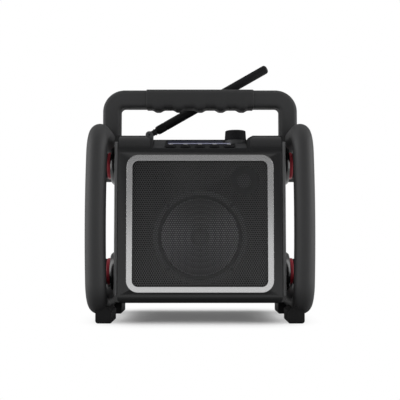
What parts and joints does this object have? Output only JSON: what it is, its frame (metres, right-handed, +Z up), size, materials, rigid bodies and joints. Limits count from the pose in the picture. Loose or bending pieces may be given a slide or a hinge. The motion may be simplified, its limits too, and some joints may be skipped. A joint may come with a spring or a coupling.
{
  "type": "jobsite radio",
  "caption": "Jobsite radio: moulded housing between tubular side guards, with carrying handle, sloped control deck, grilled speaker, folding antenna and rear battery bay.",
  "frame": {"origin": "on the floor, under the middle of the radio", "axes": "+X to the right of someone facing the front, +Y from front to rear, +Z up"},
  "size_m": [0.2994, 0.2094, 0.3672],
  "materials": {
    "housing_plastic": "moulded, fine satin texture",
    "deck_plastic": "satin",
    "silver_trim": "satin silver",
    "grille_steel": "black powder coat",
    "speaker_steel": "black",
    "cone_paper": "treated paper",
    "dome_fabric": "coated fabric",
    "dark_plastic": "satin",
    "seal_rubber": "matte",
    "window": "tinted, glossy",
    "display_glass": "glossy",
    "circuit_board": "solder mask",
    "button_plastic": "satin",
    "light_plastic": "satin grey",
    "bright_steel": "zinc plated",
    "dark_steel": "black oxide",
    "antenna_rubber": "matte",
    "handle_plastic": "moulded, fine satin texture",
    "grip_rubber": "soft touch",
    "guard_rubber": "soft touch",
    "collar_plastic": "satin",
    "ring_red": "satin red",
    "foot_rubber": "matte",
    "cell_steel": "plain wrap",
    "heat_sink_aluminium": "extruded"
  },
  "bodies": {
    "housing": {"front_shell": "housing_plastic", "rear_shell": "housing_plastic", "shell_gasket": "seal_rubber", "shell_screws": "bright_steel", "trim_frame": "silver_trim", "grille": "grille_steel", "woofer_basket": "speaker_steel", "woofer_surround": "seal_rubber", "woofer_cone": "cone_paper", "woofer_dust_cap": "cone_paper", "woofer_magnet": "speaker_steel", "woofer_screws": "bright_steel", "tweeter_plate": "dark_plastic", "tweeter_dome": "dome_fabric", "tweeter_magnet": "speaker_steel", "control_deck": "deck_plastic", "display_lens": "window", "lcd_module": "display_glass", "button_board": "circuit_board", "knob_collar": "light_plastic", "rotary_encoder": "bright_steel", "main_board": "circuit_board", "heat_sink": "heat_sink_aluminium", "antenna_socket": "bright_steel", "handle": "handle_plastic", "handle_grip": "grip_rubber", "handle_bolts": "dark_steel", "guard_left": "guard_rubber", "guard_right": "guard_rubber", "guard_collars": "collar_plastic", "guard_rings": "ring_red", "guard_bolts": "dark_steel", "guard_nuts": "bright_steel", "foot_front_left": "foot_rubber", "foot_front_right": "foot_rubber", "foot_rear_left": "foot_rubber", "foot_rear_right": "foot_rubber", "foot_screws": "bright_steel", "door_pins": "bright_steel", "battery_holder": "dark_plastic", "battery_cells": "cell_steel", "battery_contacts": "bright_steel", "socket_panel": "dark_plastic"},
    "volume_control": {"volume_knob": "button_plastic", "encoder_shaft": "bright_steel"},
    "antenna_post": {"antenna_base": "light_plastic", "antenna_pin": "bright_steel"},
    "antenna": {"antenna_neck": "dark_steel", "antenna_sleeve": "antenna_rubber"},
    "door": {"battery_door": "housing_plastic"},
    "door_latch": {"battery_latch": "dark_plastic"},
    "flap": {"socket_cover": "seal_rubber"},
    "button_1_body": {"button_1": "button_plastic"},
    "button_2_body": {"button_2": "button_plastic"},
    "button_3_body": {"button_3": "button_plastic"},
    "button_4_body": {"button_4": "button_plastic"},
    "button_5_body": {"button_5": "button_plastic"}
  },
  "joints": [
    {"name": "volume_turn", "type": "hinge", "parent": "housing", "child": "volume_control", "pos_m": [0.0483, -0.051, 0.25], "axis": [0, 0, 1], "continuous": true},
    {"name": "antenna_swivel", "type": "hinge", "parent": "housing", "child": "antenna_post", "pos_m": [-0.0747, 0.03, 0.247], "axis": [0, 0, 1], "range_deg": [0, 110]},
    {"name": "antenna_tilt", "type": "hinge", "parent": "antenna_post", "child": "antenna", "pos_m": [-0.0747, 0.03, 0.2629], "axis": [0, -1, 0], "range_deg": [-26, 60.1]},
    {"name": "door_hinge", "type": "hinge", "parent": "housing", "child": "door", "pos_m": [0, 0.0902, 0.0402], "axis": [-1, 0, 0], "range_deg": [0, 95]},
    {"name": "latch_slide", "type": "slide", "parent": "housing", "child": "door_latch", "axis": [0, 0, -1], "range_m": [0, 0.003]},
    {"name": "flap_hinge", "type": "hinge", "parent": "housing", "child": "flap", "pos_m": [0, 0.09165, 0.20535], "axis": [1, 0, 0], "range_deg": [0, 95]},
    {"name": "button_1_press", "type": "slide", "parent": "housing", "child": "button_1_body", "axis": [0, 0.3115, -0.9502], "range_m": [0, 0.001], "stiffness_N_per_m": 800, "springref_m": -0.0002},
    {"name": "button_2_press", "type": "slide", "parent": "housing", "child": "button_2_body", "axis": [0, 0.3115, -0.9502], "range_m": [0, 0.001], "stiffness_N_per_m": 800, "springref_m": -0.0002},
    {"name": "button_3_press", "type": "slide", "parent": "housing", "child": "button_3_body", "axis": [0, 0.3115, -0.9502], "range_m": [0, 0.001], "stiffness_N_per_m": 800, "springref_m": -0.0002},
    {"name": "button_4_press", "type": "slide", "parent": "housing", "child": "button_4_body", "axis": [0, 0.3115, -0.9502], "range_m": [0, 0.001], "stiffness_N_per_m": 800, "springref_m": -0.0002},
    {"name": "button_5_press", "type": "slide", "parent": "housing", "child": "button_5_body", "axis": [0, 0.3115, -0.9502], "range_m": [0, 0.001], "stiffness_N_per_m": 800, "springref_m": -0.0002}
  ]
}
